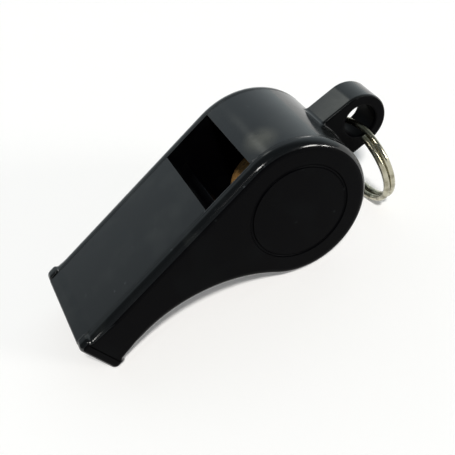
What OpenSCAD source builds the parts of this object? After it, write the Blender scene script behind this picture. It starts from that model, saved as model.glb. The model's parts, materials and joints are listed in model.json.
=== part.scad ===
// Pea whistle in moulded black plastic, with a cork pea and a split ring on its lug.
// All lengths are in millimetres. The body is drawn with its deck level and the barrel's
// axis along Y through the origin, the mouthpiece towards -X, and is then turned to lie as
// it does on a table, on the bottom of the barrel and the lower lip of the mouthpiece.

/* [Barrel] */
// Outer diameter of the barrel
barrel_d = 21; // [19:0.5:25]
// Thickness of the barrel's round wall
barrel_wall = 1.6; // [1.2:0.1:2]
// Width of the sound chamber, between the side plates
chamber_w = 14; // [13.5:0.5:18]
// Thickness of each side plate
plate_t = 1.8; // [1.4:0.1:2.4]

/* [Mouthpiece] */
// Distance from the barrel's axis to the end of the mouthpiece
mouth_reach = 32.5; // [29:0.5:38]
// Height of the mouthpiece between its beads
mouth_h = 6.4; // [5.8:0.1:7.6]
// Radius of the hollow curve from the mouthpiece down to the barrel
throat_r = 20; // [14:1:26]
// Thickness of the deck
deck_t = 1.7; // [1.3:0.1:2]
// Thickness of the floor at the mouth
mouth_floor_t = 1.6; // [1.2:0.1:2]
// Height of the blowing slot where it opens into the window
slot_h = 1.3; // [0.9:0.1:1.6]
// Length of the bead round the mouthpiece
bead_l = 2.2; // [1.6:0.2:3]
// Height of the bead
bead_h = 0.45; // [0.3:0.05:0.6]

/* [Window] */
// Distance from the barrel's axis back to the end of the deck
window_back = 7.75; // [7:0.25:8.5]
// Distance from the barrel's axis on to the lip
window_front = 0.4; // [0:0.1:1.5]
// How far the floor's edge stands out past the end of the deck
floor_lead = 1; // [0.6:0.1:1.4]

/* [Lug] */
// Diameter of the lug's hole
lug_hole_d = 4.7; // [4.6:0.1:6]
// Wall between the barrel and the hole
lug_neck = 1.65; // [1.4:0.05:3]
// Wall of the lug round the hole
lug_wall = 1.65; // [1.2:0.05:2.2]
// Width of the lug
lug_w = 4.9; // [4.2:0.1:6]
// Angle at which the lug drops below the level of the deck
lug_drop = 9.5; // [7:0.5:12]

/* [Pea] */
// Room from side to side that the chamber leaves beside the pea
pea_room = 1.6; // [1:0.1:3]
// Gap between the pea and the chamber's wall, and between the pea and the left plate
pea_gap = 0.3; // [0.2:0.05:0.4]

/* [Split ring] */
// Outer diameter of the split ring
ring_d = 14.5; // [13:0.1:18]
// Thickness of its wire
ring_wire_d = 0.9; // [0.7:0.05:1]
// Angle at which the ring turns from square across the lug
ring_twist = 7.4; // [0:0.2:9]
// Angle by which the ring hangs in from square to the line from the barrel's axis to it
ring_tuck = 13.1; // [9:0.1:14]
// Angle by which the ring has slipped round through the lug, towards the right plate
ring_slip = 5.3; // [0:0.1:8]

/* [Hidden] */
$fn = 96;
// Overrun of every cut past the face that it leaves
cut = 1;
barrel_r = barrel_d / 2;
chamber_r = barrel_r - barrel_wall;
half_w = chamber_w / 2;
// Rounding of the plates' outer edges, which half their thickness limits, of the bead and
// of the lug's edges
plate_edge = 0.8;
plate_edge_r = min(plate_edge, plate_t / 2);
bead_r = 0.55;
lug_edge_r = 0.4;
// Ring groove in each plate: its radius, width and depth
groove_r = 7;
groove_w = 0.5;
groove_depth = 0.25;

mouth_bottom = barrel_r - mouth_h;
mouth_middle = barrel_r - mouth_h / 2;
deck_bottom = barrel_r - deck_t;
slot_floor = deck_bottom - slot_h;
floor_edge = -window_back + floor_lead;

// Centre of the hollow curve, which is tangent to the mouthpiece's floor and to the barrel
throat_z = mouth_bottom - throat_r;
throat_x = -sqrt(pow(barrel_r + throat_r, 2) - pow(throat_z, 2));

// The plane on which the whistle lies touches the barrel and the lower corner of the bead,
// and the deck then rises by this pitch towards the lug
bead_x = -mouth_reach + bead_r;
bead_low_z = mouth_bottom - bead_h + bead_r;
bead_low_dist = sqrt(bead_x * bead_x + bead_low_z * bead_low_z);
pitch = 270 - atan2(bead_low_z, bead_x) - acos((barrel_r - bead_r) / bead_low_dist);

// The bead's upper corner and the lug's end reach furthest, and the origin is between them
bead_high_z = barrel_r + bead_h - bead_r;
lug_r = lug_hole_d / 2 + lug_wall;
lug_reach = barrel_r + lug_neck + lug_hole_d / 2;
lug_x = lug_reach * cos(lug_drop);
lug_z = -lug_reach * sin(lug_drop);
rest_min_x = bead_x * cos(pitch) - bead_high_z * sin(pitch) - bead_r;
rest_max_x = lug_x * cos(pitch) - lug_z * sin(pitch) + lug_r;
rest_mid_x = (rest_min_x + rest_max_x) / 2;

pea_d = chamber_w - pea_room;

// Split ring: two coils side by side, joined by one slanted crossing in the lug's hole
ring_mean_r = (ring_d - ring_wire_d) / 2;
ring_coil_gap = 0.05;
ring_coil_z = (ring_wire_d + ring_coil_gap) / 2;
// Half the angle that the crossing takes, and the angle from it to the end of each coil
ring_cross_angle = 30;
ring_end_angle = 6;
// Thickness of the wire at its two bends, as a share of its thickness elsewhere
ring_bend_share = 1.04;
ring_cross_tilt = asin(ring_coil_z / (ring_mean_r * sin(ring_cross_angle)));
// The crossing's middle lies a wire's thickness clear of the hole's wall on the barrel's
// side, and a little above the hole's centre
ring_seat_back = lug_hole_d / 2 - ring_wire_d - ring_wire_d / 2;
ring_seat_up = 0.15;
ring_seat_x = lug_x - ring_seat_back;
ring_seat_z = lug_z + ring_seat_up;
// The ring leans out to clear the barrel or, where it would reach below the table, further
// until it stands just clear of that
ring_floor_gap = 0.1;
ring_fall = barrel_r + ring_seat_x * sin(pitch) + ring_seat_z * cos(pitch)
            - ring_wire_d / 2 - ring_floor_gap;
ring_reach = sqrt(pow(2 * ring_mean_r, 2) + pow(ring_coil_z, 2));
ring_hang_lean = pitch + atan2(ring_seat_z, ring_seat_x) - ring_tuck;
ring_stand_lean = ring_fall < ring_reach ?
  atan2(ring_coil_z, 2 * ring_mean_r) + acos(ring_fall / ring_reach) : 0;
ring_lean = max(ring_hang_lean, ring_stand_lean);

// Turns what is drawn with the deck level to the way the whistle lies
module in_rest_pose() {
  translate([-rest_mid_x, 0, barrel_r]) rotate([0, -pitch, 0]) children();
}

// Stands an outline drawn in X and Z up, from y_low to y_high
module across(y_low, y_high) {
  translate([0, y_high, 0]) rotate([90, 0, 0]) linear_extrude(y_high - y_low) children();
}

// Side view of the mouthpiece's end with its bead
module bead_outline() {
  low = mouth_bottom - bead_h;
  high = barrel_r + bead_h;
  translate([-mouth_reach, low + bead_r]) square([bead_l, high - low - 2 * bead_r]);
  translate([-mouth_reach + bead_r, low]) square([bead_l - 2 * bead_r, high - low]);
  for (x = [-mouth_reach + bead_r, -mouth_reach + bead_l - bead_r], z = [low + bead_r, high - bead_r])
    translate([x, z]) circle(bead_r);
}

// Wedge between mouthpiece and barrel that the hollow curve is cut from
module throat_wedge() {
  polygon([[throat_x, mouth_middle], [0, mouth_middle], [0, 0], [throat_x, throat_z]]);
}

// Side view of the whole whistle without its lug
module side_outline() {
  circle(barrel_r);
  translate([-mouth_reach + bead_r, mouth_bottom]) square([mouth_reach - bead_r, mouth_h]);
  bead_outline();
  difference() {
    throat_wedge();
    translate([throat_x, throat_z]) circle(throat_r);
  }
}

// Everything above the slot's floor, back to the lip: room for the deck, slot and window
module slot_and_window_outline() {
  polygon([
    [-mouth_reach - cut, mouth_bottom + mouth_floor_t],
    [-mouth_reach, mouth_bottom + mouth_floor_t],
    [floor_edge, slot_floor],
    [floor_edge, slot_floor - barrel_wall - cut],
    [window_front, slot_floor - barrel_wall - cut],
    [window_front, barrel_r + cut],
    [-mouth_reach - cut, barrel_r + cut]
  ]);
}

// Lug with a round end and rounded edges, drawn about its hole and in to the barrel's axis
module lug() {
  translate([lug_x, 0, lug_z]) rotate([90, lug_drop, 0]) difference() {
    union() {
      rotate_extrude() lug_half_section();
      rotate([0, -90, 0]) linear_extrude(lug_reach) {
        rotate(90) lug_half_section();
        rotate(90) mirror([1, 0]) lug_half_section();
      }
    }
    translate([0, 0, -lug_w / 2 - cut]) cylinder(d = lug_hole_d, h = lug_w + 2 * cut);
    for (side = [0, 1]) mirror([0, 0, side])
      translate([0, 0, lug_w / 2 - lug_edge_r])
        cylinder(d1 = lug_hole_d, d2 = lug_hole_d + 2 * (lug_edge_r + cut), h = lug_edge_r + cut);
  }
}

// Half of the lug's cross-section, from its middle line out to its rounded edges
module lug_half_section() {
  square_w = lug_w - 2 * lug_edge_r;
  translate([0, -lug_w / 2]) square([lug_r - lug_edge_r, lug_w]);
  translate([0, -square_w / 2]) square([lug_r, square_w]);
  for (y = [-square_w / 2, square_w / 2]) translate([lug_r - lug_edge_r, y]) circle(lug_edge_r);
}

// Barrel wall, throat, floor of the slot and lug in one moulding, open at both sides
module centre_body() {
  color("#23262a") in_rest_pose() {
    across(-half_w, half_w) difference() {
      side_outline();
      circle(chamber_r);
      slot_and_window_outline();
    }
    difference() {
      lug();
      across(-lug_w, lug_w) circle(barrel_r - barrel_wall / 2);
    }
  }
}

// Roof of the blowing slot, which carries the upper bead
module mouthpiece_deck() {
  color("#2f3437") in_rest_pose() across(-half_w, half_w) intersection() {
    side_outline();
    translate([-mouth_reach - cut, deck_bottom])
      square([mouth_reach + cut - window_back, deck_t + bead_h + cut]);
  }
}

// Section of a plate at its rim: x runs in from the rim and y out from the inner face
module rim_section(depth) {
  translate([plate_edge_r, 0]) square([depth - plate_edge_r, plate_t]);
  square([depth, plate_t - plate_edge_r]);
  translate([plate_edge_r, plate_t - plate_edge_r]) circle(plate_edge_r);
}

// Half of the section of a plate's round end, from the barrel's axis out to the rim
module disc_section() {
  square([barrel_r - plate_edge_r, plate_t]);
  square([barrel_r, plate_t - plate_edge_r]);
  translate([barrel_r - plate_edge_r, plate_t - plate_edge_r]) circle(plate_edge_r);
}

// One side plate, lying flat: x and y are the whistle's x and z, and its outer face is up
module plate_flat() {
  difference() {
    union() {
      rotate_extrude() disc_section();
      intersection() {
        union() {
          bar(-mouth_reach, -mouth_reach + bead_l) bar_section(mouth_bottom - bead_h, barrel_r + bead_h);
          bar(-mouth_reach, throat_x) bar_section(mouth_bottom, barrel_r);
          bar(throat_x, 0) top_section(barrel_r, mouth_h / 2);
        }
        linear_extrude(plate_t) side_outline();
      }
      intersection() {
        translate([throat_x, throat_z]) rotate_extrude()
          translate([throat_r, 0]) rim_section(barrel_r);
        linear_extrude(plate_t) throat_wedge();
      }
    }
    translate([0, 0, plate_t - groove_depth]) rotate_extrude()
      translate([groove_r - groove_w / 2, 0]) square([groove_w, groove_depth + cut]);
  }
}

// Length of the mouthpiece, from one x to another, with the section given
module bar(from, to) {
  translate([from, 0, 0]) rotate([90, 0, 90]) linear_extrude(to - from) children();
}

// Section with a rounded outer edge at the top alone
module top_section(high, depth) {
  translate([high, 0]) mirror([1, 0]) rim_section(depth);
}

// Section with both outer edges rounded
module bar_section(low, high) {
  translate([low, 0]) rim_section((high - low) / 2);
  top_section(high, (high - low) / 2);
}

module left_side_plate() {
  color("#1b1d20") in_rest_pose()
    translate([0, half_w, 0]) rotate([90, 0, 0]) mirror([0, 0, 1]) plate_flat();
}

module right_side_plate() {
  color("#1b1d20") in_rest_pose()
    translate([0, -half_w, 0]) rotate([90, 0, 0]) plate_flat();
}

// The pea lies at the lowest point of the chamber, close to the left plate
module cork_pea() {
  color("#b58a52") translate([-rest_mid_x, half_w - pea_d / 2 - pea_gap,
                              barrel_r - chamber_r + pea_gap + pea_d / 2])
    rotate([90, 0, 0]) sphere(d = pea_d);
}

// Part of one turn of the ring's wire, from one angle round to another
module ring_turn(from, to) {
  rotate([0, 0, from]) rotate_extrude(angle = to - from)
    translate([ring_mean_r, 0]) circle(d = ring_wire_d, $fn = 32);
}

// Ball that rounds the bend between a coil and the crossing
module ring_bend() {
  rotate([0, 0, ring_cross_angle]) translate([ring_mean_r, 0, ring_coil_z])
    sphere(d = ring_wire_d * ring_bend_share, $fn = 32);
}

// The two coils and their crossing, with the crossing's middle on the X axis
module ring_wire() {
  for (side = [0, 1]) rotate([180 * side, 0, 0]) {
    translate([0, 0, ring_coil_z])
      ring_turn(ring_cross_angle, 360 - ring_cross_angle - ring_end_angle);
    ring_bend();
  }
  rotate([ring_cross_tilt, 0, 0]) ring_turn(-ring_cross_angle, ring_cross_angle);
}

// The ring hangs from its crossing, which lies in the lug's hole
module split_ring() {
  color("#c9c6ba") in_rest_pose() translate([ring_seat_x, 0, ring_seat_z])
    rotate([0, pitch - ring_lean, 0]) rotate([0, -90, 180 + ring_twist])
      rotate([0, 0, -ring_slip]) translate([-ring_mean_r, 0, 0]) ring_wire();
}

centre_body();
mouthpiece_deck();
left_side_plate();
right_side_plate();
cork_pea();
split_ring();
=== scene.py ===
import json
import math

import bmesh
import bpy
from mathutils import Matrix, Vector


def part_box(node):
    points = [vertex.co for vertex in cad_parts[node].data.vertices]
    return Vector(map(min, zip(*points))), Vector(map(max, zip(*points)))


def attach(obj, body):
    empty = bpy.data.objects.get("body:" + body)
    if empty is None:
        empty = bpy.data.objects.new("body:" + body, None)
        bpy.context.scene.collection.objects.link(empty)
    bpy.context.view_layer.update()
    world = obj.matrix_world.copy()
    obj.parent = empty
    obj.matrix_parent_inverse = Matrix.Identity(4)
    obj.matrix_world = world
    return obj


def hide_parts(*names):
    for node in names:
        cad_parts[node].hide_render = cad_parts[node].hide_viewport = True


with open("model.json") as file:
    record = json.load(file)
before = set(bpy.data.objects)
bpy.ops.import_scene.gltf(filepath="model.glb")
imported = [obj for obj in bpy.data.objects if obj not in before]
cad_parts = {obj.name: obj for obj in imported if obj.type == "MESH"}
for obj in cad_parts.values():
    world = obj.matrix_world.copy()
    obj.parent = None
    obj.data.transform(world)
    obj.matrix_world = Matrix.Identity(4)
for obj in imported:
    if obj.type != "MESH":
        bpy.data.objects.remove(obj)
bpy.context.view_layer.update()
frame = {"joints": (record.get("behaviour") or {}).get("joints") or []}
joints = {joint["name"]: joint for joint in frame["joints"]}
mm = 0.001
touch = 0.01                   # mm, within which a point counts as on a plane or a circle
merge = 0.001                  # mm, within which two points are one
sharpAngle = 30                # degrees between two faces, past which their edge is sharp
smoothAngle = 32               # degrees between two faces, up to which they are shaded as one
normalWeight = 60              # 50 is neutral, and more lets the large faces set the shading

# The body is drawn as in a maker's side view, in millimetres: deck level, barrel's axis at
# the origin and mouthpiece towards -X. It is then turned to lie on barrel and mouthpiece.
body = {
    "pitch": 25.4739,          # degrees by which the deck rises towards the lug, as it lies
    "barrelR": 10.5,
    "chamberR": 8.9,
    "halfWidth": 7.0,          # the plates start here
    "mouthX": -32.5,
    "topZ": 10.5,              # the deck
    "bottomZ": 4.1,            # the underside of the mouthpiece
    "throatR": 20.0,           # the hollow curve between that and the barrel
}
body["throatZ"] = body["bottomZ"] - body["throatR"]
body["throatX"] = -math.sqrt((body["barrelR"] + body["throatR"]) ** 2 - body["throatZ"] ** 2)
body["tangentAngle"] = math.degrees(math.atan2(-body["throatZ"], -body["throatX"]))
# The bead at the mouth stands proud at the plates and the underside, and only swells softly
# across the deck. The fillet is the hollow curve by which it runs out.
beads = {
    "proud": {"length": 2.3, "height": 0.45, "frontR": 0.9, "backR": 0.6, "fillet": 0.15},
    "soft": {"length": 2.9, "height": 0.18, "frontR": 0.4, "backR": 3.0, "fillet": 3.0},
}
for bead in beads.values():
    bothR = bead["backR"] + bead["fillet"]
    bead["slope"] = math.degrees(math.acos(1 - bead["height"] / bothR))
    bead["endX"] = body["mouthX"] + bead["length"]
    bead["backX"] = bead["endX"] - bothR * math.sin(math.radians(bead["slope"]))
barrelAxis = Vector(joints["pea_roll"]["pos_m"])


# Selecting, drawing and finishing, as used by every piece

def clearSelection():
    if bpy.context.mode != "OBJECT":
        bpy.ops.object.mode_set(mode="OBJECT")
    bpy.ops.object.select_all(action="DESELECT")


def takeUp(piece):
    clearSelection()
    piece.select_set(True)
    bpy.context.view_layer.objects.active = piece


def choose(kind, test):
    # selects the edit mesh's vertices that pass the test, or the faces whose corners all do
    bpy.ops.mesh.select_mode(type=kind)
    bpy.ops.mesh.select_all(action="DESELECT")
    mesh = bpy.context.edit_object.data
    edit = bmesh.from_edit_mesh(mesh)
    if kind == "VERT":
        for vert in edit.verts:
            vert.select = test(vert.co)
    else:
        for face in edit.faces:
            face.select = all(test(vert.co) for vert in face.verts)
    edit.select_flush_mode()
    bmesh.update_edit_mesh(mesh)


def beginOutline(x, z):
    clearSelection()
    bpy.ops.mesh.primitive_plane_add(size=1)
    bpy.ops.object.mode_set(mode="EDIT")
    bpy.ops.mesh.select_mode(type="VERT")
    bpy.ops.mesh.merge(type="CENTER")
    bpy.ops.transform.translate(value=(x, 0, z))


def lineTo(x, z):
    edit = bmesh.from_edit_mesh(bpy.context.edit_object.data)
    here = next(vert.co for vert in edit.verts if vert.select)
    move = {"value": (x - here.x, 0, z - here.z)}
    bpy.ops.mesh.extrude_region_move(TRANSFORM_OT_translate=move)


def arcAbout(x, z, degrees, steps):
    # positive angles turn from +X towards +Z
    bpy.ops.mesh.spin(steps=steps, angle=math.radians(degrees), center=(x, 0, z), axis=(0, 1, 0))


def closeOutline():
    bpy.ops.mesh.select_all(action="SELECT")
    bpy.ops.mesh.remove_doubles(threshold=merge)
    bpy.ops.mesh.select_all(action="SELECT")
    bpy.ops.mesh.edge_face_add()


def thicken(fromY, *toY):
    # moves the filled outline to the first Y and extrudes it on through the others
    bpy.ops.transform.translate(value=(0, fromY, 0))
    here = fromY
    for y in toY:
        bpy.ops.mesh.extrude_region_move(TRANSFORM_OT_translate={"value": (0, y - here, 0)})
        here = y
    bpy.ops.mesh.select_all(action="SELECT")
    bpy.ops.mesh.normals_make_consistent(inside=False)
    return bpy.context.edit_object


def applyModifier(piece, kind, **settings):
    takeUp(piece)
    bpy.ops.object.modifier_add(type=kind)
    modifier = piece.modifiers[-1]
    for name, value in settings.items():
        setattr(modifier, name, value)
    bpy.ops.object.modifier_apply(modifier=modifier.name)


def bevelEdges(piece, width, segments, rules):
    # rounds each sharp edge whose two ends pass a rule's test, to that rule's share of the
    # width; where several rules fit, the last one counts
    takeUp(piece)
    bpy.ops.object.mode_set(mode="EDIT")
    edit = bmesh.from_edit_mesh(piece.data)
    weight = edit.edges.layers.float.new("bevel_weight_edge")
    for edge in edit.edges:
        sharp = edge.calc_face_angle(0) > math.radians(sharpAngle)
        for test, share in rules:
            if sharp and all(test(vert.co) for vert in edge.verts):
                edge[weight] = share
    bmesh.update_edit_mesh(piece.data)
    applyModifier(piece, "BEVEL", limit_method="WEIGHT", width=width, segments=segments,
                  use_clamp_overlap=False)


def joinWith(piece, other, operation):
    applyModifier(piece, "BOOLEAN", operation=operation, object=other, solver="EXACT")
    bpy.data.objects.remove(other)


def layToRest(piece):
    # from the level drawing in millimetres to the whistle's place on the table, in metres
    takeUp(piece)
    piece.scale = (mm, mm, mm)
    piece.rotation_euler = (0, -math.radians(body["pitch"]), 0)
    piece.location = barrelAxis
    bpy.ops.object.transform_apply(location=True, rotation=True, scale=True)


def smoothShade(piece, degrees=smoothAngle):
    takeUp(piece)
    bpy.ops.object.shade_smooth_by_angle(angle=math.radians(degrees))
    applyModifier(piece, "WEIGHTED_NORMAL", keep_sharp=True, weight=normalWeight)


def finishPiece(piece, name, bodyName, node, slot, *materials):
    piece.name = name
    piece.data.name = name
    piece.data.materials.clear()
    for material in materials:
        piece.data.materials.append(material)
    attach(piece, bodyName)
    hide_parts(node)
    print("piece", name, len(piece.data.polygons), "faces")


def markPaintedShade(piece, test):
    # gives the piece's second material, the painted shade, to each face that passes, by the level
    # drawing's values
    turnBack = Matrix.Rotation(math.radians(body["pitch"]), 3, "Y")
    for face in piece.data.polygons:
        place = turnBack @ (face.center - barrelAxis) / mm
        if test(place, turnBack @ face.normal):
            face.material_index = 1


# Colours and nodes

def hexColor(code):
    # an sRGB hex value as a linear colour
    channels = [int(code[i:i + 2], 16) / 255 for i in (1, 3, 5)]
    return tuple(c / 12.92 if c <= 0.04045 else ((c + 0.055) / 1.055) ** 2.4
                 for c in channels) + (1,)


def perMetre(size):
    # texture scale whose pattern repeats about every so many millimetres
    return 1 / (size * mm)


def addNode(tree, kind, inputs=None, links=None, stops=None, **settings):
    # adds a node with its socket values, the outputs that feed it, a ramp's stops and settings
    node = tree.nodes.new(kind)
    for name, value in settings.items():
        setattr(node, name, value)
    for name, value in (inputs or {}).items():
        node.inputs[name].default_value = value
    for name, source in (links or {}).items():
        tree.links.new(source, node.inputs[name])
    if stops:
        while len(node.color_ramp.elements) < len(stops):
            node.color_ramp.elements.new(1)
        for element, (position, color) in zip(node.color_ramp.elements, stops):
            element.position = position
            element.color = hexColor(color)
    return node


def rangeInputs(span, low=0.0, high=1.0):
    # socket values that map the span to low and high
    return {"From Min": span[0], "From Max": span[1], "To Min": low, "To Max": high}


def newMaterial(name):
    material = bpy.data.materials.new(name)
    material.use_nodes = True
    material.node_tree.nodes.clear()
    return material, material.node_tree


# Black high-impact polystyrene from a polished mould: a deep gloss with slight flow haze,
# fine handling scratches and a few dust specks
glossPlastic = {
    "base": "#060708",
    "ior": 1.59,
    "specular": 0.5,
    "roughLow": 0.11,
    "roughHigh": 0.22,
    "wearRange": (0.5, 0.9),   # haze and scratches together, from least to most rough
    "hazeSize": 5.0,           # mm, cloudy patches from the melt's flow
    "bloom": "#1b1d1c",        # the palest of a thin bloom on old gloss
    "bloomRange": (0.5, 0.75),     # of the haze, over which the bloom comes up
    "paintedSheen": "#40403a",       # painted sheen: a lighter patch beside the window where a reflection falls on the barrel
    "paintedSheenAt": (6.8, -4.3, 21.0),     # mm
    "paintedSheenReach": 3.1,        # mm
    "paintedSheenCore": 0.2,         # share of the reach, within which it is full
    "paintedSheenRange": (0.25, 0.45),   # of the haze, over which the painted sheen takes hold
    "scratchWidth": 0.25,      # mm, drawn wider than real ones so that they show
    "scratchLength": 6.0,      # mm
    "gridTurn": 35,            # degrees, so that the noise's own grid lies aslant
    "scratchShare": 0.35,      # of the wear
    "speck": "#2c2f31",
    "speckSpacing": 3.0,       # mm
    "speckSize": 0.035,        # share of the spacing
    "speckFade": 0.03,         # share of the spacing, over which its edge fades
    "rippleSize": 2.5,         # mm, the slight waviness of a moulded wall
    "rippleDepth": 0.004,      # mm
}
# A darker copy of the same plastic with next to no gloss, as painted shade on the flat sides and in
# the hollows: near black
shadePaintedPlastic = dict(glossPlastic, base="#020203", specular=0.03, roughLow=0.34, roughHigh=0.5,
                   bloom="#050607", speck="#141617", speckSpacing=4.0, rippleDepth=0.003)


def mouldedPlastic(name, look):
    material, tree = newMaterial(name)
    place = addNode(tree, "ShaderNodeTexCoord").outputs["Object"]
    haze = addNode(tree, "ShaderNodeTexNoise", {"Scale": perMetre(look["hazeSize"]), "Detail": 5.0},
                   {"Vector": place})
    stretched = addNode(tree, "ShaderNodeMapping",
                        {"Scale": (look["scratchWidth"] / look["scratchLength"], 1, 1),
                         "Rotation": (0, 0, math.radians(look["gridTurn"]))},
                        {"Vector": place})
    scratches = addNode(tree, "ShaderNodeTexNoise",
                        {"Scale": perMetre(look["scratchWidth"]), "Detail": 2.0},
                        {"Vector": stretched.outputs["Vector"]})
    wear = addNode(tree, "ShaderNodeMath", {1: look["scratchShare"]},
                   {0: scratches.outputs["Fac"]}, operation="MULTIPLY")
    worn = addNode(tree, "ShaderNodeMath", None,
                   {0: haze.outputs["Fac"], 1: wear.outputs["Value"]}, operation="ADD")
    rough = addNode(tree, "ShaderNodeMapRange",
                    rangeInputs(look["wearRange"], look["roughLow"], look["roughHigh"]),
                    {"Value": worn.outputs["Value"]})
    specks = addNode(tree, "ShaderNodeTexVoronoi", {"Scale": perMetre(look["speckSpacing"])},
                     {"Vector": place})
    color = addNode(tree, "ShaderNodeValToRGB", None, {"Fac": specks.outputs["Distance"]},
                    stops=[(look["speckSize"], look["speck"]),
                           (look["speckSize"] + look["speckFade"], look["base"])])
    bloomed = addNode(tree, "ShaderNodeMapRange", rangeInputs(look["bloomRange"]),
                      {"Value": haze.outputs["Fac"]})
    tinted = addNode(tree, "ShaderNodeMix", {7: hexColor(look["bloom"])},
                     {0: bloomed.outputs["Result"], 6: color.outputs["Color"]}, data_type="RGBA")
    # Painted sheen: a lighter patch beside the window that stands in for a reflection on the
    # barrel, full near its place and patchy with the haze
    away = addNode(tree, "ShaderNodeVectorMath", {1: Vector(look["paintedSheenAt"]) * mm}, {0: place},
                   operation="DISTANCE")
    reach = look["paintedSheenReach"] * mm
    near = addNode(tree, "ShaderNodeMapRange", rangeInputs((reach, look["paintedSheenCore"] * reach)),
                   {"Value": away.outputs["Value"]}, interpolation_type="SMOOTHSTEP")
    patchy = addNode(tree, "ShaderNodeMapRange", rangeInputs(look["paintedSheenRange"]),
                     {"Value": haze.outputs["Fac"], "To Max": near.outputs["Result"]})
    withPaintedSheen = addNode(tree, "ShaderNodeMix", {7: hexColor(look["paintedSheen"])},
                      {0: patchy.outputs["Result"], 6: tinted.outputs[2]}, data_type="RGBA")
    ripple = addNode(tree, "ShaderNodeTexNoise", {"Scale": perMetre(look["rippleSize"])},
                     {"Vector": place})
    bump = addNode(tree, "ShaderNodeBump", {"Distance": look["rippleDepth"] * mm, "Strength": 1.0},
                   {"Height": ripple.outputs["Fac"]})
    shader = addNode(tree, "ShaderNodeBsdfPrincipled",
                     {"IOR": look["ior"], "Specular IOR Level": look["specular"]},
                     {"Base Color": withPaintedSheen.outputs[2], "Roughness": rough.outputs["Result"],
                      "Normal": bump.outputs["Normal"]})
    addNode(tree, "ShaderNodeOutputMaterial", None, {"Surface": shader.outputs["BSDF"]})
    return material


# Natural cork, sanded to a ball: warm tan granules between darker seams and pits
corkLook = {
    "shades": [(0.4, "#6d4a26"), (0.52, "#ad8048"), (0.75, "#c79a5e")],
    "granule": 1.1,            # mm
    "granuleShare": 0.55,      # of the grain, beside the flecks
    "fleck": 0.35,             # mm
    "depth": 0.08,             # mm
    "roughness": 0.82,
    "specular": 0.3,
}


def naturalCork(name, look):
    material, tree = newMaterial(name)
    place = addNode(tree, "ShaderNodeTexCoord").outputs["Object"]
    granules = addNode(tree, "ShaderNodeTexVoronoi",
                       {"Scale": perMetre(look["granule"]), "Randomness": 1.0},
                       {"Vector": place}, feature="DISTANCE_TO_EDGE")
    flecks = addNode(tree, "ShaderNodeTexNoise",
                     {"Scale": perMetre(look["fleck"]), "Detail": 4.0, "Roughness": 0.65},
                     {"Vector": place})
    mixed = addNode(tree, "ShaderNodeMath", {1: look["granuleShare"]},
                    {0: granules.outputs["Distance"]}, operation="MULTIPLY")
    grain = addNode(tree, "ShaderNodeMath", None,
                    {0: mixed.outputs["Value"], 1: flecks.outputs["Fac"]}, operation="ADD")
    color = addNode(tree, "ShaderNodeValToRGB", None, {"Fac": grain.outputs["Value"]},
                    stops=look["shades"])
    bump = addNode(tree, "ShaderNodeBump", {"Distance": look["depth"] * mm, "Strength": 0.8},
                   {"Height": grain.outputs["Value"]})
    shader = addNode(tree, "ShaderNodeBsdfPrincipled",
                     {"Roughness": look["roughness"], "Specular IOR Level": look["specular"]},
                     {"Base Color": color.outputs["Color"], "Normal": bump.outputs["Normal"]})
    addNode(tree, "ShaderNodeOutputMaterial", None, {"Surface": shader.outputs["BSDF"]})
    return material


# Nickel-plated spring steel wire, drawn and coiled: bright, slightly warm, dulled in places
nickelLook = {
    "tarnishSize": 1.6,        # mm
    "shades": [(0.42, "#bbb7a3"), (0.66, "#827e6a")],
    "roughRange": (0.35, 0.7),     # of the tarnish, from least to most rough
    "roughLow": 0.14,
    "roughHigh": 0.34,
    "drawLine": 0.12,          # mm
    "lineDepth": 0.002,        # mm
}


def nickelPlate(name, look):
    material, tree = newMaterial(name)
    place = addNode(tree, "ShaderNodeTexCoord").outputs["Object"]
    tarnish = addNode(tree, "ShaderNodeTexNoise",
                      {"Scale": perMetre(look["tarnishSize"]), "Detail": 4.0}, {"Vector": place})
    color = addNode(tree, "ShaderNodeValToRGB", None, {"Fac": tarnish.outputs["Fac"]},
                    stops=look["shades"])
    rough = addNode(tree, "ShaderNodeMapRange",
                    rangeInputs(look["roughRange"], look["roughLow"], look["roughHigh"]),
                    {"Value": tarnish.outputs["Fac"]})
    lines = addNode(tree, "ShaderNodeTexNoise", {"Scale": perMetre(look["drawLine"])},
                    {"Vector": place})
    bump = addNode(tree, "ShaderNodeBump", {"Distance": look["lineDepth"] * mm, "Strength": 0.6},
                   {"Height": lines.outputs["Fac"]})
    shader = addNode(tree, "ShaderNodeBsdfPrincipled", {"Metallic": 1.0},
                     {"Base Color": color.outputs["Color"], "Roughness": rough.outputs["Result"],
                      "Normal": bump.outputs["Normal"]})
    addNode(tree, "ShaderNodeOutputMaterial", None, {"Surface": shader.outputs["BSDF"]})
    return material


bodyGloss = mouldedPlastic("polishedPolystyrene", glossPlastic)
# the second plastic is painted shade: a darker copy of the first with next to no gloss
shadePaintedSatin = mouldedPlastic("shadePaintedPolystyrene", shadePaintedPlastic)
cork = naturalCork("naturalCork", corkLook)
nickel = nickelPlate("nickelPlatedWire", nickelLook)
print("materials ready")


# Centre body: barrel wall, hollow throat and the floor of the blowing slot in one moulding

centre = {
    "lipX": 0.4,               # where the barrel's wall ends in the window
    "slotMouthZ": 5.7,         # the slot's floor at the mouth
    "slotFloorZ": 7.5,         # and at its edge in the window
    "floorEdgeX": -6.75,
    "edgeRadius": 0.14,        # moulded edges in the window and the mouth
    "edgeSteps": 3,
    "seam": 0.06,              # softened edge along the welds
    "barrelSteps": 108,
    "throatSteps": 36,
    "chamberSteps": 120,
    "beadSteps": 6,            # for each curve of a bead
}


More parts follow.
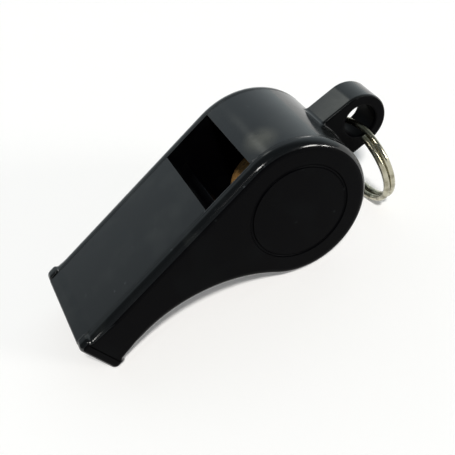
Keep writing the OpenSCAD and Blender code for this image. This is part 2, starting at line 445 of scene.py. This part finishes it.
def lowerSide(bead):
    # from the barrel round the throat and the lower bead, up to the mouth's plane
    arcAbout(body["throatX"], body["throatZ"], 90 - body["tangentAngle"], centre["throatSteps"])
    lineTo(bead["endX"], body["bottomZ"])
    arcAbout(bead["endX"], body["bottomZ"] - bead["fillet"], bead["slope"], centre["beadSteps"])
    low = body["bottomZ"] - bead["height"]
    arcAbout(bead["backX"], low + bead["backR"], -bead["slope"], centre["beadSteps"])
    frontX = body["mouthX"] + bead["frontR"]
    lineTo(frontX, low)
    arcAbout(frontX, low + bead["frontR"], -90, centre["beadSteps"])


def upperSide(bead):
    # from the mouth's plane over the upper bead to the deck
    high = body["topZ"] + bead["height"]
    lineTo(body["mouthX"], high - bead["frontR"])
    arcAbout(body["mouthX"] + bead["frontR"], high - bead["frontR"], -90, centre["beadSteps"])
    lineTo(bead["backX"], high)
    arcAbout(bead["backX"], high - bead["backR"], -bead["slope"], centre["beadSteps"])
    arcAbout(bead["endX"], body["topZ"] + bead["fillet"], bead["slope"], centre["beadSteps"])


def onCircle(radius, x):
    # the height of a circle about the barrel's axis at x, or the other way round
    return math.sqrt(radius ** 2 - x ** 2)


def buildCentreBody():
    lipTop = onCircle(body["barrelR"], centre["lipX"])
    lipAngle = math.degrees(math.atan2(lipTop, centre["lipX"]))
    beginOutline(centre["lipX"], lipTop)
    arcAbout(0, 0, -(lipAngle + 180 - body["tangentAngle"]), centre["barrelSteps"])
    lowerSide(beads["proud"])
    lineTo(body["mouthX"], centre["slotMouthZ"])
    lineTo(centre["floorEdgeX"], centre["slotFloorZ"])
    edgeZ = onCircle(body["chamberR"], centre["floorEdgeX"])
    lineTo(centre["floorEdgeX"], edgeZ)
    edgeAngle = math.degrees(math.atan2(edgeZ, centre["floorEdgeX"]))
    innerLip = math.degrees(math.acos(centre["lipX"] / body["chamberR"]))
    arcAbout(0, 0, 360 - edgeAngle + innerLip, centre["chamberSteps"])
    lineTo(centre["lipX"], lipTop)
    closeOutline()
    piece = thicken(-body["halfWidth"], body["halfWidth"])
    atSide = lambda co: abs(co.y) > body["halfWidth"] - touch
    atLip = lambda co: abs(co.x - centre["lipX"]) < touch
    atFloorEdge = lambda co: abs(co.x - centre["floorEdgeX"]) < touch and co.z > 0
    atMouth = lambda co: (abs(co.x - body["mouthX"]) < touch
                          and abs(co.z - centre["slotMouthZ"]) < touch)
    bevelEdges(piece, centre["edgeRadius"], centre["edgeSteps"],
               [(atLip, 1), (atFloorEdge, 1), (atMouth, 1),
                (atSide, centre["seam"] / centre["edgeRadius"])])
    return piece


# Lug: a round-ended tab for the ring, which flares into the barrel where it starts

lug = {
    "drop": 9.5,               # degrees by which it points below the level of the deck
    "holeX": 14.5,             # from the barrel's axis
    "holeR": 2.35,
    "holeSteps": 72,
    "radius": 4.0,
    "width": 4.9,
    "endSteps": 40,
    "edge": 0.4,
    "edgeSteps": 5,
    "flare": 0.5,              # radius of the hollow curve at its root
    "flareSteps": 5,
    "rootR": 9.6,              # its root ends inside the barrel's wall
    "rootSteps": 16,
}


def flareRing(reach, grow):
    # sets the extruded root ring at its distance from the barrel's axis, grown all round
    mesh = bpy.context.edit_object.data
    edit = bmesh.from_edit_mesh(mesh)
    coreY = lug["width"] / 2 - lug["edge"]
    coreZ = lug["radius"] - lug["edge"]
    for vert in edit.verts:
        if vert.select:
            near = Vector((max(-coreY, min(coreY, vert.co.y)), max(-coreZ, min(coreZ, vert.co.z))))
            out = (Vector((vert.co.y, vert.co.z)) - near).normalized()
            vert.co.y, vert.co.z = near + out * (lug["edge"] + grow)
            vert.co.x = onCircle(reach, vert.co.z)
    bmesh.update_edit_mesh(mesh)


def buildLug():
    startR = body["barrelR"] + lug["flare"]
    startX = onCircle(startR, lug["radius"])
    rootAngle = math.degrees(math.atan2(lug["radius"], startX))
    half = lug["width"] / 2
    beginOutline(startX, lug["radius"])
    lineTo(lug["holeX"], lug["radius"])
    arcAbout(lug["holeX"], 0, -180, lug["endSteps"])
    lineTo(startX, -lug["radius"])
    arcAbout(0, 0, 2 * rootAngle, lug["rootSteps"])
    closeOutline()
    piece = thicken(-half, half)
    clearSelection()
    bpy.ops.mesh.primitive_cylinder_add(vertices=lug["holeSteps"], radius=lug["holeR"],
                                        depth=lug["width"] * 2, location=(lug["holeX"], 0, 0),
                                        rotation=(math.radians(90), 0, 0))
    joinWith(piece, bpy.context.object, "DIFFERENCE")
    atSide = lambda co: abs(co.y) > half - touch
    atRoot = lambda co: math.hypot(co.x, co.z) < startR + touch
    bevelEdges(piece, lug["edge"], lug["edgeSteps"],
               [(atSide, 1), (lambda co: atSide(co) and atRoot(co), 0)])
    takeUp(piece)
    bpy.ops.object.mode_set(mode="EDIT")
    choose("FACE", atRoot)
    for step in range(1, lug["flareSteps"] + 1):
        turn = math.radians(90) * step / lug["flareSteps"]
        bpy.ops.mesh.extrude_region_move()
        flareRing(body["barrelR"] + lug["flare"] * (1 - math.sin(turn)),
                  lug["flare"] * (1 - math.cos(turn)))
    bpy.ops.mesh.extrude_region_move()
    flareRing(lug["rootR"], lug["flare"])
    bpy.ops.mesh.select_all(action="SELECT")
    bpy.ops.mesh.normals_make_consistent(inside=False)
    takeUp(piece)
    piece.rotation_euler = (0, math.radians(lug["drop"]), 0)
    bpy.ops.object.transform_apply(location=False, rotation=True, scale=False)
    return piece


# Where the painted shade, the darker copy of the plastic with next to no gloss, lies on the centre
# body and the plates
paintedShadeAreas = {
    "chamberReach": 0.3,       # mm past the chamber's wall
    "slotReach": 0.2,          # mm past the slot's floor and its edge in the window
    "slotFacing": 0.98,        # how squarely a face of the slot looks along it or up
    "sideFacing": 0.85,        # how squarely a side of the centre body looks sideways
    "plateFacing": 0.9,        # and a side of a plate
}


def isCoreOrSide(place, normal):
    # the chamber, the slot, the lug's hole and all flat sides, which take the painted shade
    drop = math.radians(lug["drop"])
    fromHole = math.hypot(place.x - lug["holeX"] * math.cos(drop),
                          place.z + lug["holeX"] * math.sin(drop))
    inSlot = (place.x < centre["floorEdgeX"] + paintedShadeAreas["slotReach"]
              and centre["slotMouthZ"] - paintedShadeAreas["slotReach"] < place.z < body["topZ"]
              and max(abs(normal.x), abs(normal.z)) > paintedShadeAreas["slotFacing"])
    fromAxis = math.hypot(place.x, place.z)
    return (abs(normal.y) > paintedShadeAreas["sideFacing"] or inSlot
            or fromAxis < body["chamberR"] + paintedShadeAreas["chamberReach"]
            or fromHole < lug["holeR"] + lug["edge"])


centreBody = buildCentreBody()
joinWith(centreBody, buildLug(), "UNION")
layToRest(centreBody)
smoothShade(centreBody)
finishPiece(centreBody, "centreMoulding", "whistle", "centre_body", "body_plastic", bodyGloss,
            shadePaintedSatin)
markPaintedShade(centreBody, isCoreOrSide)


# Mouthpiece deck: the flat roof of the blowing slot with the upper bead

deck = {
    "underZ": 8.8,
    "backX": -7.75,
    "edgeRadius": 0.14,
    "edgeSteps": 3,
    "seam": 0.06,
}


def buildDeck():
    beginOutline(deck["backX"], deck["underZ"])
    lineTo(body["mouthX"], deck["underZ"])
    upperSide(beads["soft"])
    lineTo(deck["backX"], body["topZ"])
    closeOutline()
    piece = thicken(-body["halfWidth"], body["halfWidth"])
    atSide = lambda co: abs(co.y) > body["halfWidth"] - touch
    atBack = lambda co: abs(co.x - deck["backX"]) < touch
    atMouth = lambda co: abs(co.x - body["mouthX"]) < touch and co.z < deck["underZ"] + touch
    bevelEdges(piece, deck["edgeRadius"], deck["edgeSteps"],
               [(atBack, 1), (atMouth, 1), (atSide, deck["seam"] / deck["edgeRadius"])])
    return piece


mouthDeck = buildDeck()
layToRest(mouthDeck)
smoothShade(mouthDeck)
finishPiece(mouthDeck, "mouthDeck", "whistle", "mouthpiece_deck", "deck_plastic", bodyGloss)


# Side plates: the whole side view in one flat moulding, with a rounded rim, a parting line
# round it and a ring groove in its face

plate = {
    "outerY": 8.8,
    "rim": 1.35,               # rounding of the outer edge
    "rimSteps": 9,
    "beadRim": 0.8,            # the bead's small corners take no more
    "knobRim": 0.25,           # where the bead stands free above the deck
    "seam": 0.06,
    "partingY": 7.3,           # just outside the weld
    "partingWidth": 0.1,
    "partingDepth": 0.07,
    "grooveR": 7.0,
    "grooveWidth": 0.5,
    "grooveDepth": 0.25,
    "grooveSteps": 144,
    "cutterSides": 16,
}


def buildPlate(side):
    beginOutline(0, body["barrelR"])
    arcAbout(0, 0, -(270 - body["tangentAngle"]), centre["barrelSteps"])
    lowerSide(beads["proud"])
    upperSide(beads["proud"])
    lineTo(beads["proud"]["endX"] + plate["rim"], body["topZ"])     # the rim widens up to here
    lineTo(0, body["topZ"])
    closeOutline()
    parting = plate["partingY"]
    gap = plate["partingWidth"] / 2
    piece = thicken(*(side * y for y in (body["halfWidth"], parting - gap, parting, parting + gap,
                                         plate["outerY"])))
    choose("VERT", lambda co: abs(abs(co.y) - parting) < touch)
    bpy.ops.transform.shrink_fatten(value=-plate["partingDepth"])
    atOuter = lambda co: abs(co.y) > plate["outerY"] - touch
    atInner = lambda co: abs(co.y) < body["halfWidth"] + touch
    atBead = lambda co: atOuter(co) and co.x < beads["proud"]["endX"] + touch
    atKnob = lambda co: atInner(co) and co.z > body["topZ"] + touch
    bevelEdges(piece, plate["rim"], plate["rimSteps"],
               [(atOuter, 1), (atBead, plate["beadRim"] / plate["rim"]),
                (atInner, plate["seam"] / plate["rim"]),
                (atKnob, plate["knobRim"] / plate["rim"])])
    clearSelection()
    cutterR = plate["grooveWidth"] / 2
    bpy.ops.mesh.primitive_torus_add(
        major_radius=plate["grooveR"], minor_radius=cutterR,
        major_segments=plate["grooveSteps"], minor_segments=plate["cutterSides"],
        location=(0, side * (plate["outerY"] + cutterR - plate["grooveDepth"]), 0),
        rotation=(math.radians(90), 0, 0))
    joinWith(piece, bpy.context.object, "DIFFERENCE")
    return piece


def finishPlate(piece, name, node):
    layToRest(piece)
    smoothShade(piece)
    finishPiece(piece, name, "whistle", node, "plate_plastic", bodyGloss, shadePaintedSatin)
    groovedR = plate["grooveR"] + plate["grooveWidth"]
    # painted shade on the flat faces and the groove, but not on the knobs above the deck
    markPaintedShade(piece, lambda place, normal: place.z < body["topZ"] and (
        abs(normal.y) > paintedShadeAreas["plateFacing"]
        or (math.hypot(place.x, place.z) < groovedR
            and abs(place.y) > plate["outerY"] - plate["rim"])))


finishPlate(buildPlate(1), "leftPlate", "left_side_plate")
finishPlate(buildPlate(-1), "rightPlate", "right_side_plate")


# Cork pea: a sanded ball, a little out of round, with open pores

pea = {
    "detail": 6,               # times that the ball's faces are divided
    "outOfRound": 0.12,        # mm
    "lumpSize": 5.0,           # mm
    "poreDepth": 0.1,          # mm
    "poreSize": 0.9,           # mm
}


def roughen(piece, name, kind, size, strength):
    texture = bpy.data.textures.new(name, kind)
    texture.noise_scale = size * mm
    applyModifier(piece, "DISPLACE", texture=texture, strength=strength * mm, mid_level=0.5,
                  texture_coords="GLOBAL")


def buildPea():
    low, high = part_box("cork_pea")
    clearSelection()
    radius = (high.z - low.z) / 2 - (pea["outOfRound"] + pea["poreDepth"]) / 2 * mm
    bpy.ops.mesh.primitive_ico_sphere_add(subdivisions=pea["detail"], radius=radius,
                                          location=(low + high) / 2)
    piece = bpy.context.object
    bpy.ops.object.transform_apply(location=True, rotation=True, scale=True)
    roughen(piece, "peaLumps", "CLOUDS", pea["lumpSize"], pea["outOfRound"])
    roughen(piece, "peaPores", "STUCCI", pea["poreSize"], pea["poreDepth"])
    takeUp(piece)
    bpy.ops.object.shade_smooth()
    return piece


finishPiece(buildPea(), "corkPea", "pea", "cork_pea", "cork", cork)


# Split ring: one length of wire in two coils, which cross over once inside the lug's hole

ring = {
    "coilR": 6.8,
    "coilZ": 0.475,            # from the middle plane to each coil
    "wireR": 0.45,
    "wireDetail": 6,
    "free": 36,                # degrees to each free end from the middle between them
    "crossingAt": 8,           # degrees from there to the crossing's middle
    "crossing": 28,            # degrees to each side of its middle
    "step": 3,                 # degrees between two points of the wire
    "slip": 5.3,               # degrees by which it hangs to the right plate's side
    "twist": 7.4,              # degrees by which it is turned about the upright
    "lean": 2.8,               # degrees by which it leans out from the upright
    "endRound": 0.25,
    "endSteps": 4,
    "smoothAngle": 40,
}


def buildRing():
    # from free end to free end, about the point of the wire that lies in the lug's hole
    points = []
    for i in range(int(2 * (360 - ring["free"]) / ring["step"]) + 1):
        degrees = 360 - ring["free"] - i * ring["step"]
        crossed = max(-1, min(1, (degrees - ring["crossingAt"]) / ring["crossing"]))
        z = ring["coilZ"] * math.sin(math.radians(90) * crossed)
        turn = math.radians(degrees)
        points.append((ring["coilR"] * (math.cos(turn) - 1), ring["coilR"] * math.sin(turn), z))
    curve = bpy.data.curves.new("ringWire", "CURVE")
    curve.dimensions = "3D"
    curve.bevel_depth = ring["wireR"]
    curve.bevel_resolution = ring["wireDetail"]
    curve.use_fill_caps = True
    spline = curve.splines.new("POLY")
    spline.points.add(len(points) - 1)
    for point, place in zip(spline.points, points):
        point.co = (*place, 1)
    piece = bpy.data.objects.new("ringWire", curve)
    bpy.context.scene.collection.objects.link(piece)
    takeUp(piece)
    bpy.ops.object.convert(target="MESH")
    piece = bpy.context.object
    bpy.ops.object.mode_set(mode="EDIT")
    bpy.ops.mesh.remove_doubles(threshold=merge)
    bpy.ops.mesh.normals_make_consistent(inside=False)
    bpy.ops.mesh.select_mode(type="FACE")
    bpy.ops.mesh.select_all(action="DESELECT")
    bpy.ops.mesh.select_face_by_sides(number=4, type="GREATER")
    bpy.ops.mesh.bevel(offset=ring["endRound"], segments=ring["endSteps"], affect="EDGES")
    takeUp(piece)
    piece.rotation_euler = (0, 0, -math.radians(ring["slip"]))
    bpy.ops.object.transform_apply(location=False, rotation=True, scale=False)
    piece.rotation_euler = (0, math.radians(-90), math.radians(180 + ring["twist"]))
    bpy.ops.object.transform_apply(location=False, rotation=True, scale=False)
    piece.rotation_euler = (0, -math.radians(ring["lean"]), 0)
    piece.scale = (mm, mm, mm)
    piece.location = joints["ring_swing"]["pos_m"]
    bpy.ops.object.transform_apply(location=True, rotation=True, scale=True)
    return piece


splitRing = buildRing()
smoothShade(splitRing, ring["smoothAngle"])
finishPiece(splitRing, "splitRing", "ring", "split_ring", "ring_steel", nickel)


# Floor, light and camera

stage = {
    "floorSize": 3.0,          # m
    "floor": "#f2f2f2",
    "floorLift": 0.12,         # added in view and in reflections, to bring the floor to white
    "mottleSize": 50.0,        # mm
    "roughLow": 0.7,
    "roughHigh": 0.9,
    "specular": 0.2,
}
# The room by the height of the direction, as its sine: bright paper behind the whistle and
# to its right, a dim front and a dim ceiling
sky = {
    "behind": [(0.0, "#edf9fa"), (0.2, "#d8e2e6"), (0.4, "#c4cfd4"), (0.6, "#b6c2c8"),
               (0.8, "#8b9498"), (1.0, "#52595c")],
    "front": [(0.0, "#6c7275"), (0.3, "#666c6f"), (0.7, "#515759"), (1.0, "#52595c")],
    "brightest": (0.5, 0.866, 0),
    "behindRange": (0.1, 0.6),     # cosine of the angle to it, from all front to all behind
    "strength": 1.0,
}
# Each lamp is a soft disc of light, far enough off to light the whole floor evenly. It stands
# at an azimuth, from +Y towards +X, and a height, both in degrees, as is its width across.
# One that lights falls on every surface, and one that glints shows in their gloss.
lamps = {
    "mainLight": {"azimuth": -178, "height": 52, "across": 7, "strength": 3.0,
                  "color": "#fffcf8", "lights": True, "glints": False},
    "leftGlint": {"azimuth": -159, "height": 46, "across": 9, "strength": 0.4,
                  "color": "#fffcf8", "lights": False, "glints": True},
    "rightFill": {"azimuth": 139, "height": 15, "across": 14, "strength": 0.8,
                  "color": "#fffcf8", "lights": True, "glints": True},
    "lowGlint": {"azimuth": 131, "height": 3, "across": 6, "strength": 0.5,
                 "color": "#fffcf8", "lights": False, "glints": True},
    "backGlint": {"azimuth": 0, "height": 45, "across": 10, "strength": 0.035,
                  "color": "#f8fbf2", "lights": False, "glints": True},
}


def buildFloor():
    clearSelection()
    bpy.ops.mesh.primitive_plane_add(size=stage["floorSize"])
    floor = bpy.context.object
    floor.name = "floor"
    material, tree = newMaterial("paleFloor")
    place = addNode(tree, "ShaderNodeTexCoord").outputs["Object"]
    mottle = addNode(tree, "ShaderNodeTexNoise", {"Scale": perMetre(stage["mottleSize"])},
                     {"Vector": place})
    rough = addNode(tree, "ShaderNodeMapRange",
                    {"To Min": stage["roughLow"], "To Max": stage["roughHigh"]},
                    {"Value": mottle.outputs["Fac"]})
    path = addNode(tree, "ShaderNodeLightPath")
    seen = path.outputs["Is Camera Ray"]
    for ray in ("Is Glossy Ray", "Is Transmission Ray"):
        seen = addNode(tree, "ShaderNodeMath", None, {0: seen, 1: path.outputs[ray]},
                       operation="MAXIMUM").outputs["Value"]
    lift = addNode(tree, "ShaderNodeMath", {1: stage["floorLift"]}, {0: seen}, operation="MULTIPLY")
    shader = addNode(tree, "ShaderNodeBsdfPrincipled",
                     {"Base Color": hexColor(stage["floor"]),
                      "Specular IOR Level": stage["specular"], "Emission Color": (1, 1, 1, 1)},
                     {"Roughness": rough.outputs["Result"],
                      "Emission Strength": lift.outputs["Value"]})
    addNode(tree, "ShaderNodeOutputMaterial", None, {"Surface": shader.outputs["BSDF"]})
    floor.data.materials.append(material)


def buildSky():
    world = bpy.data.worlds.new("studioSky")
    bpy.context.scene.world = world
    world.use_nodes = True
    tree = world.node_tree
    tree.nodes.clear()
    direction = addNode(tree, "ShaderNodeTexCoord").outputs["Generated"]
    parts = addNode(tree, "ShaderNodeSeparateXYZ", None, {"Vector": direction})
    behind, front = (addNode(tree, "ShaderNodeValToRGB", None, {"Fac": parts.outputs["Z"]},
                             stops=sky[side]) for side in ("behind", "front"))
    towards = addNode(tree, "ShaderNodeVectorMath", {1: sky["brightest"]}, {0: direction},
                      operation="DOT_PRODUCT")
    turn = addNode(tree, "ShaderNodeMapRange", rangeInputs(sky["behindRange"]),
                   {"Value": towards.outputs["Value"]})
    room = addNode(tree, "ShaderNodeMix", None,
                   {0: turn.outputs["Result"], 6: front.outputs["Color"],
                    7: behind.outputs["Color"]}, data_type="RGBA")
    glow = addNode(tree, "ShaderNodeBackground", {"Strength": sky["strength"]},
                   {"Color": room.outputs[2]})
    addNode(tree, "ShaderNodeOutputWorld", None, {"Surface": glow.outputs["Background"]})


def addLamp(name, look):
    azimuth = math.radians(look["azimuth"])
    height = math.radians(look["height"])
    towards = Vector((math.sin(azimuth) * math.cos(height), math.cos(azimuth) * math.cos(height),
                      math.sin(height)))
    clearSelection()
    bpy.ops.object.light_add(type="SUN", location=towards)
    lamp = bpy.context.object
    lamp.name = name
    lamp.rotation_euler = towards.to_track_quat("Z", "Y").to_euler()
    lamp.data.angle = math.radians(look["across"])
    lamp.data.color = hexColor(look["color"])[:3]
    lamp.data.energy = look["strength"]
    lamp.visible_diffuse = look["lights"]
    lamp.visible_glossy = look["glints"]


# The camera stands above the mouthpiece and to its right, held a little aslant
view = {
    "location": (-0.01907, -0.08974, 0.08591),     # m
    "along": (0.15579, 0.73802, -0.65654),         # the way that it looks
    "up": (0.44828, 0.53945, 0.71276),
    "lens": 67.73,             # mm
    "sensor": 36,              # mm
    "nearest": 0.005,          # m
}


def buildCamera():
    bpy.ops.object.camera_add()
    camera = bpy.context.object
    back = -Vector(view["along"]).normalized()
    right = Vector(view["up"]).cross(back).normalized()
    turned = Matrix((right, back.cross(right), back)).transposed().to_4x4()
    camera.matrix_world = Matrix.Translation(view["location"]) @ turned
    camera.data.lens = view["lens"]
    camera.data.sensor_width = view["sensor"]
    camera.data.clip_start = view["nearest"]
    bpy.context.scene.camera = camera


buildFloor()
buildSky()
for lampName, lampLook in lamps.items():
    addLamp(lampName, lampLook)
buildCamera()
bpy.context.scene.view_settings.view_transform = "Standard"
print("stage ready")
